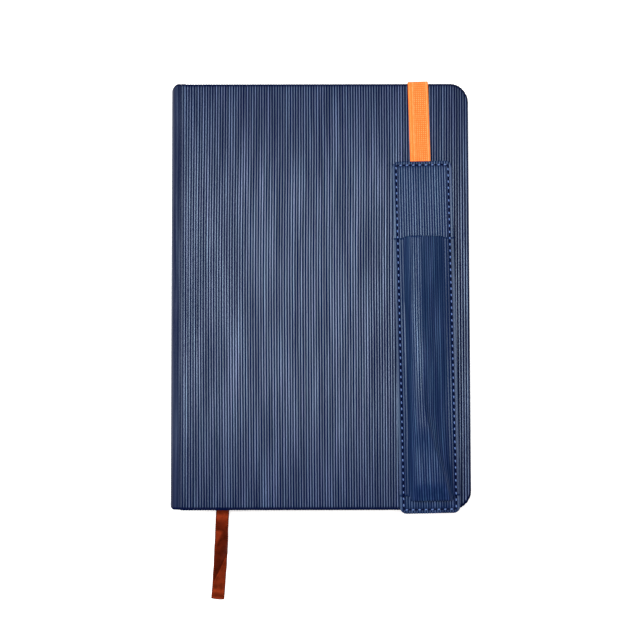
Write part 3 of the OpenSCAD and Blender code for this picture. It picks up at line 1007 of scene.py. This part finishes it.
class LOGBOOK_OT_block_back(LogbookOperator, bpy.types.Operator):
    """Sew, line and band the block's back"""

    bl_idname = "logbook.block_back"
    bl_label = "Block's back"

    def execute(self, context):
        levels = split_levels()
        for node, maker, slot in (("spine_mull", gauze, "mull"), ("spine_lining", kraft, "lining_paper")):
            low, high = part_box(node)
            bm = grid(24, len(levels) - 1)
            for v in bm.verts:
                v.co = Vector((low.x, high.y + (low.y - high.y) * v.co.x / 24, levels[int(v.co.y)]))
            make_piece(node + "_strip", bm, [maker], slot, [node], bend=split_bend(),
                       thickness=(high.x - low.x) * 0.9)

        low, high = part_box("sewing_thread")
        bm = bmesh.new()
        stations = 6
        for station in range(stations):
            y = BLOCK_HIGH.y * (2 * (station + 0.5) / stations - 1)
            tube = grid(8, len(levels) - 1)
            for v in tube.verts:
                a = v.co.x / 8 * math.tau
                z = min(max(levels[int(v.co.y)], low.z), high.z)
                r = (high.x - low.x) / 2
                v.co = Vector(((low.x + high.x) / 2 + r * math.cos(a), y + r * math.sin(a), z))
            bmesh.ops.remove_doubles(tube, verts=tube.verts, dist=WELD)
            bmesh.ops.holes_fill(tube, edges=tube.edges)
            take_in(bm, tube)
        bmesh.ops.recalc_face_normals(bm, faces=bm.faces)
        make_piece("sewing_threads", bm, [linen_thread], "thread", ["sewing_thread"], bend=split_bend())

        for node, side in (("headband", 1), ("tailband", -1)):
            low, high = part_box(node)
            roll = (high.x - low.x) / 2
            outer = high.y if side > 0 else -low.y
            skirt = low.y if side > 0 else -high.y
            profile = [(low.x, skirt), (low.x, outer - 3 * roll)]
            profile += [(low.x + roll - roll * math.cos(a), outer - roll + roll * math.sin(a))
                        for a in [math.radians(d) for d in range(0, 271, 27)]]
            count, block_depth = 13, BLOCK_HIGH.z - BLOCK_LOW.z
            rows = [BLOCK_LOW.z + block_depth * k / (count * 4) for k in range(count * 4 + 1)]
            rows = sorted(rows + levels[1:-1])
            swell = 0.08 * MM
            bm = grid(len(profile) - 1, len(rows) - 1)
            stripes = bm.verts.layers.float.new("stripe")
            for v in bm.verts:
                x, y = profile[int(v.co.x)]
                z = rows[int(v.co.y)]
                turns = (z - BLOCK_LOW.z) / block_depth * count
                bulge = abs(math.sin(math.pi * turns)) * swell
                if v.co.x > 1:
                    middle_x, middle_y = low.x + roll, outer - roll
                    x += (x - middle_x) / roll * (bulge - swell)
                    y += (y - middle_y) / roll * (bulge - swell)
                v.co = Vector((x, side * y, z))
                v[stripes] = float(int(turns) % 2)
            bmesh.ops.recalc_face_normals(bm, faces=bm.faces)
            block_end = side * BLOCK_HIGH.y
            if sum((f.calc_center_median().y - block_end) * f.normal.y for f in bm.faces) < 0:
                bmesh.ops.reverse_faces(bm, faces=bm.faces)
            make_piece(node + "_striped", bm, [striped_band], "end_band", [node], bend=split_bend(),
                       thickness=0.12 * MM)
        return {"FINISHED"}


def round_loop(half_x, half_y, corner):
    """Place and heading at a distance round a rectangle with round corners, from the foot of its right
    side and up it first, with the loop's length."""
    runs = [2 * (half_y - corner), 2 * (half_x - corner)] * 2
    arc = corner * math.pi / 2
    total = sum(runs) + 4 * arc

    def at(distance):
        d = distance % total
        x, y, a = half_x, corner - half_y, math.pi / 2
        for run in runs:
            step = min(d, run)
            x, y, d = x + math.cos(a) * step, y + math.sin(a) * step, d - step
            if d <= 0:
                return x, y, a
            b = a + min(d / corner, math.pi / 2)
            x += (math.sin(b) - math.sin(a)) * corner
            y += (math.cos(a) - math.cos(b)) * corner
            if d < arc:
                return x, y, b
            d -= arc
            a += math.pi / 2
        return x, y, a

    return at, total


class LOGBOOK_OT_elastic(LogbookOperator, bpy.types.Operator):
    """Weave the elastic loop round the front cover"""

    bl_idname = "logbook.elastic"
    bl_label = "Elastic band"

    def execute(self, context):
        band = context.scene.logbook_band
        weft = 1.0 * MM
        low, high = ELASTIC_LOW, ELASTIC_HIGH
        thick = high.z - (COVER_HIGH.z + 0.1 * MM)
        half_z = (high.z - low.z) / 2
        middle = (high.z + low.z) / 2
        half_y = 106.1 * MM
        bend = 1.75 * MM
        outer, total = round_loop(half_z, half_y, bend)

        # Round the strap's section: the woven face, a rounded selvedge, the plain under face and back
        face = 30
        width = band.elastic_width
        section = [(width * (k / face - 0.5), 0.0, True) for k in range(face + 1)]
        edge = width / 2
        section += [(across, deep, False) for across, deep in (
            (edge + 0.02 * MM, thick / 2), (edge, thick), (0.0, thick), (-edge, thick), (-edge - 0.02 * MM, thick / 2))]
        rows = round(total / weft) * 4
        bm = grid(len(section), rows)
        weaves = bm.verts.layers.float.new("weave")
        turn = Matrix.Rotation(band.elastic_lean, 4, "Z")
        for v in bm.verts:
            across, deep, woven = section[int(v.co.x) % len(section)]
            distance = (v.co.y % rows) / rows * total
            z, y, a = outer(distance)
            ny, nz = -math.cos(a), math.sin(a)
            lift, weave = 0.0, 0.5
            if woven:
                picks = distance / weft
                place = across / width
                rounding = max(0.0, abs(place) - 0.455) / 0.045
                lift = -0.22 * MM * rounding * rounding
                cord = 0.5 + 0.5 * math.cos(math.tau * across / (1.0 * MM))
                pick = 0.5 + 0.5 * math.cos(math.tau * picks)
                if place < -0.27:
                    cord = 0.5 + 0.5 * math.cos(math.tau * (across + 0.1 * MM) / (1.35 * MM))
                    weave = 0.35 + 0.25 * cord + 0.15 * pick
                elif place > 0.36:
                    weave = 0.45 + 0.35 * cord
                else:
                    weave = 0.25 + 0.75 * cord * pick
                if -0.30 < place < -0.24:
                    weave, cord = 0.75, 1.0
                weave += 0.1 * wander(across * 900, distance * 500, 9)
                lift += (0.05 * cord + 0.06 * pick - 0.11) * MM
            y += ny * (lift - deep)
            z += nz * (lift - deep)
            v.co = turn @ Vector((across, y, z))
            v.co += Vector((band.elastic_x, 0, middle))
            v[weaves] = weave
        bmesh.ops.remove_doubles(bm, verts=bm.verts, dist=WELD)
        bmesh.ops.recalc_face_normals(bm, faces=bm.faces)
        make_piece("elastic_strap", bm, [woven_elastic], "elastic", ["elastic_band"], body="pen_band", sharp=70)
        return {"FINISHED"}


def sleeve_turn(band):
    """From the sleeve's own frame, with its middle at the origin, to the book's."""
    middle = (SLEEVE_LOW + SLEEVE_HIGH) / 2
    return Matrix.Translation((middle.x, middle.y, 0)) @ Matrix.Rotation(band.sleeve_lean, 4, "Z")


def sewn_rib(rise, from_side, inset, band, case, strength=1.0):
    """A rib's height on the sleeve, and the skin's over its crests: smooth outside the stitches along both
    sides, and pulled down under the stitches, which run at their inset from every edge."""
    sunk = math.exp(-((inset - band.stitch_inset) / (0.5 * MM)) ** 2)
    rise = (0.76 + (rise - 0.76) * smooth(from_side, 1.0 * MM, 2.0 * MM)) * (1 - 0.5 * sunk) * strength
    return rise, (rise - 1) * case.rib_depth * 0.8 - 0.10 * MM * sunk


class LOGBOOK_OT_sleeve_back(LogbookOperator, bpy.types.Operator):
    """Make the sleeve's back panel"""

    bl_idname = "logbook.sleeve_back"
    bl_label = "Sleeve back"

    def execute(self, context):
        band, case = context.scene.logbook_band, context.scene.logbook_case
        depth = SLEEVE_HIGH.z - SLEEVE_LOW.z
        radius = 0.46 * MM
        half_w, half_l = band.sleeve_width / 2 - radius, band.sleeve_length / 2 - radius
        panel = Panel(-half_w, half_w, half_l, band.sleeve_radius - radius, round_low=True)
        past = end_rows(depth, radius, 1.2 * MM)
        ribs = 23
        step = 2 * half_w / (ribs * PER_RIB)
        columns = [(-half_w, -d, 0.0) for d in reversed(past)]
        columns += [(-half_w + k * step, 0.0, k / PER_RIB) for k in range(ribs * PER_RIB + 1)]
        columns += [(half_w, d, float(ribs)) for d in past]
        rows = sheet_rows(150, past)
        bm = grid(len(columns) - 1, len(rows) - 1)
        layer = bm.verts.layers.float.new("rib")
        turn = sleeve_turn(band)
        for v in bm.verts:
            s, side, turns = columns[int(v.co.x)]
            share, end = rows[int(v.co.y)]
            flat, normal = panel.point(s, share, side, end, radius, depth)
            y = share * half_l
            rise = rib_height(turns) * (0.86 + 0.14 * wander(turns * 0.9, y * 30, 21))
            from_side = half_w + radius - abs(flat.x)
            inset = min(from_side, half_l + radius - abs(flat.y))
            rise, lift = sewn_rib(rise, from_side, inset, band, case)
            flat += normal * lift
            flat.x += 0.10 * MM * wander(s * 60, y * 18, 22)
            v.co = turn @ Vector((flat.x, flat.y, SLEEVE_HIGH.z + flat.z))
            v[layer] = rise * 0.95
        bmesh.ops.remove_doubles(bm, verts=bm.verts, dist=WELD)
        bmesh.ops.holes_fill(bm, edges=[e for e in bm.edges if e.is_boundary])
        make_piece("sleeve_back_ribbed", bm, [sleeve_skin], "sleeve_skin", ["sleeve_back"], body="pen_band")
        return {"FINISHED"}


def straight(x, stops):
    """Value at x of the broken line through the (place, value) stops."""
    for (x0, y0), (x1, y1) in zip(stops, stops[1:]):
        if x <= x1:
            return y0 + (y1 - y0) * (x - x0) / (x1 - x0)
    return stops[-1][1]


# Where the pocket's fold runs across, and how high it stands, at places along the sleeve in millimetres
POCKET_CREST = [(-80, 10.6), (-76.5, 9.6), (-64.5, 5.9), (-58, 3.6), (-50, 1.4), (-43, -0.2), (-38, -1.3), (-28, -2.4),
                (-18, -2.9), (-8, -3.4), (4, -4.2), (28, -4.3), (60, -4.0)]
POCKET_RISE = [(-80, 3.3), (-66, 4.2), (-54, 4.9), (-46, 6.1), (-20, 5.9), (20, 5.4), (60, 4.4)]


def pocket_profile(y):
    """The pocket's section at y as (across, height over the flange) points."""
    left, right, half = -9.4 * MM, 11.2 * MM, bpy.context.scene.logbook_band.sleeve_width / 2
    crest, rise = (sum(straight(y / MM + d, stops) for d in (-3, -1.5, 0, 1.5, 3)) / 5 * MM
                   for stops in (POCKET_CREST, POCKET_RISE))
    fold = smooth(-y, 5 * MM, 42 * MM)
    sag = 2.3 - 1.2 * smooth(-y, 55 * MM, 77 * MM)
    shoulder = 4.2 + 6 * smooth(-y, 45 * MM, 77 * MM)
    count = 120
    points = []
    for k in range(count + 1):
        x, height = -half + 2 * half * k / count, 0.0
        if left < x <= crest:
            u = (x - left) / (crest - left)
            height = rise * (1 - (1 - u) ** shoulder)
        elif crest < x < right:
            w = (x - crest) / (right - crest)
            height = rise * ((1 - fold) * (0.5 + 0.5 * math.cos(math.pi * w)) + fold * (1 - w) ** sag)
        points.append((x, height))
    soft = round(2 + 2 * smooth(y, -30 * MM, 40 * MM))
    nearby = [[h for _, h in points[max(0, k - soft):k + soft + 1]] for k in range(count + 1)]
    return [(x, sum(near) / len(near)) for (x, _), near in zip(points, nearby)]


class LOGBOOK_OT_sleeve_pocket(LogbookOperator, bpy.types.Operator):
    """Make the sleeve's half-collapsed pocket"""

    bl_idname = "logbook.sleeve_pocket"
    bl_label = "Sleeve pocket"

    def execute(self, context):
        band, case = context.scene.logbook_band, context.scene.logbook_case
        flange = SLEEVE_HIGH.z + FLANGE_THICKNESS
        mouth = band.sleeve_length / 2 - band.mouth_drop
        foot = band.pocket_rise - band.sleeve_length / 2
        at_mouth, at_foot = 0.6 * MM, 2.3 * MM
        ribs, row_count = 27, 130
        columns = ribs * PER_RIB
        bm = grid(columns, row_count)
        layer = bm.verts.layers.float.new("rib")
        turn = sleeve_turn(band)
        rows = []
        for j in range(row_count + 1):
            y = foot + (mouth - foot) * j / row_count
            profile = pocket_profile(y)
            reach = [0.0, *accumulate(math.dist(a, b) for a, b in zip(profile, profile[1:]))]
            places, k = [], 0
            for i in range(columns + 1):
                want = reach[-1] * i / columns
                while k < len(profile) - 2 and reach[k + 1] < want:
                    k += 1
                t = (want - reach[k]) / (reach[k + 1] - reach[k])
                (x0, h0), (x1, h1) = profile[k], profile[k + 1]
                slope = math.dist(profile[k], profile[k + 1])
                places.append((x0 + (x1 - x0) * t, h0 + (h1 - h0) * t, -(h1 - h0) / slope, (x1 - x0) / slope))
            rows.append((y, places))
        for v in bm.verts:
            i, j = int(v.co.x), int(v.co.y)
            y, places = rows[j]
            x, height, nx, nz = places[i]
            raised = min(1.0, height / (1.2 * MM))
            turns = i / PER_RIB
            rise = rib_height(turns) * (0.82 + 0.18 * wander(turns * 0.9, y * 35, 31))
            inset = band.sleeve_width / 2 - abs(x)
            # Where the pocket lies flat, the lower rib value paints its ribs darker: painted shade for flanges that
            # tilt away from the light
            rise, lift = sewn_rib(rise, inset, inset, band, case, 0.84 + 0.16 * raised)
            crumple = 0.16 * MM * raised * wander(x * 240, y * 75, 33)
            # The raised part stands a little longer at both ends than the flanges do
            stood = min(1.0, height / (0.35 * MM))
            stretch = stood * (at_mouth * smooth(y, 35 * MM, mouth) - at_foot * smooth(-y, 60 * MM, -foot))
            curl = -0.45 * height * smooth(-y, 70 * MM, -foot)
            v.co = turn @ Vector((x + nx * (lift + crumple), y + stretch,
                                  flange + height + nz * (lift + crumple) + curl))
            v[layer] = rise
        make_piece("sleeve_pocket_ribbed", bm, [sleeve_skin], "sleeve_skin", ["sleeve_pocket"], body="pen_band",
                   sharp=60, thickness=0.55 * MM)
        return {"FINISHED"}


class LOGBOOK_OT_stitching(LogbookOperator, bpy.types.Operator):
    """Stitch the sleeve all round, with a needle hole between each two stitches"""

    bl_idname = "logbook.stitching"
    bl_label = "Stitching"

    def execute(self, context):
        band = context.scene.logbook_band
        turn = sleeve_turn(band)
        half_w = band.sleeve_width / 2 - band.stitch_inset
        half_l = band.sleeve_length / 2 - band.stitch_inset
        corner = band.sleeve_radius - band.stitch_inset
        at, total = round_loop(half_w, half_l, corner)
        count = round(total / band.stitch_pitch)
        dice = random.Random(5)
        mouth = band.sleeve_length / 2 - band.mouth_drop
        foot = band.pocket_rise - band.sleeve_length / 2

        def level(x, y):
            on_pocket = abs(x) > half_w - 0.5 * MM and foot < y < mouth
            return SLEEVE_HIGH.z + (FLANGE_THICKNESS if on_pocket else 0.0) - 0.16 * MM

        def bead(bm, distance, lift, lean, rings, sizes, stand=0.0):
            """A flattened ball of those half sizes on the stitch line; stand turns its poles to its ends."""
            x, y, heading = at(distance)
            place = turn @ Matrix.Translation((x, y, level(x, y) + lift))
            place = place @ Matrix.Rotation(heading + lean, 4, "Z") @ Matrix.Diagonal((*sizes, 1))
            bmesh.ops.create_uvsphere(bm, u_segments=10, v_segments=rings, radius=1,
                                      matrix=place @ Matrix.Rotation(stand, 4, "Y"))

        threads, holes = bmesh.new(), bmesh.new()
        for k in range(count):
            lean = math.radians(7 + 3 * dice.random())
            sizes = 0.58 * MM + 0.08 * MM * dice.random(), 0.31 * MM, 0.24 * MM
            bead(threads, total * k / count, 0.13 * MM, lean, 6, sizes, math.pi / 2)
            # Each needle hole is a flat dark bead: painted shade that stands in for the hole
            bead(holes, total * (k + 0.5) / count, 0.05 * MM, 0.0, 4, (0.95 * MM, 0.44 * MM, 0.10 * MM))
        make_piece("sleeve_threads", threads, [sleeve_thread], "stitching", ["sleeve_stitching"],
                   body="pen_band", sharp=80)
        make_piece("sleeve_needle_hole_shade", holes, [needle_dark], "sleeve_skin", body="pen_band", sharp=80)
        return {"FINISHED"}


OPERATORS = (
    LOGBOOK_OT_stage,
    LOGBOOK_OT_ribbon,
    LOGBOOK_OT_case_skin,
    LOGBOOK_OT_boards,
    LOGBOOK_OT_signatures,
    LOGBOOK_OT_block_back,
    LOGBOOK_OT_elastic,
    LOGBOOK_OT_sleeve_back,
    LOGBOOK_OT_sleeve_pocket,
    LOGBOOK_OT_stitching,
)


class LOGBOOK_PT_panel(bpy.types.Panel):
    """The logbook's pieces and their sizes"""

    bl_label = "Logbook"
    bl_idname = "LOGBOOK_PT_panel"
    bl_space_type = "VIEW_3D"
    bl_region_type = "UI"
    bl_category = "Logbook"

    def draw(self, context):
        for operator in OPERATORS:
            self.layout.operator(operator.bl_idname)
        for name in GROUPS:
            group = getattr(context.scene, name)
            box = self.layout.box()
            for key in group.bl_rna.properties.keys():
                if key not in ("rna_type", "name"):
                    box.prop(group, key)


def register():
    for name, group in GROUPS.items():
        bpy.utils.register_class(group)
        setattr(bpy.types.Scene, name, PointerProperty(type=group))
    for kind in (*OPERATORS, LOGBOOK_PT_panel):
        bpy.utils.register_class(kind)


def unregister():
    for kind in (LOGBOOK_PT_panel, *reversed(OPERATORS)):
        bpy.utils.unregister_class(kind)
    for name, group in GROUPS.items():
        delattr(bpy.types.Scene, name)
        bpy.utils.unregister_class(group)


def main():
    register()
    for operator in OPERATORS:
        family, action = operator.bl_idname.split(".")
        getattr(getattr(bpy.ops, family), action)()


if __name__ == "__main__":
    main()
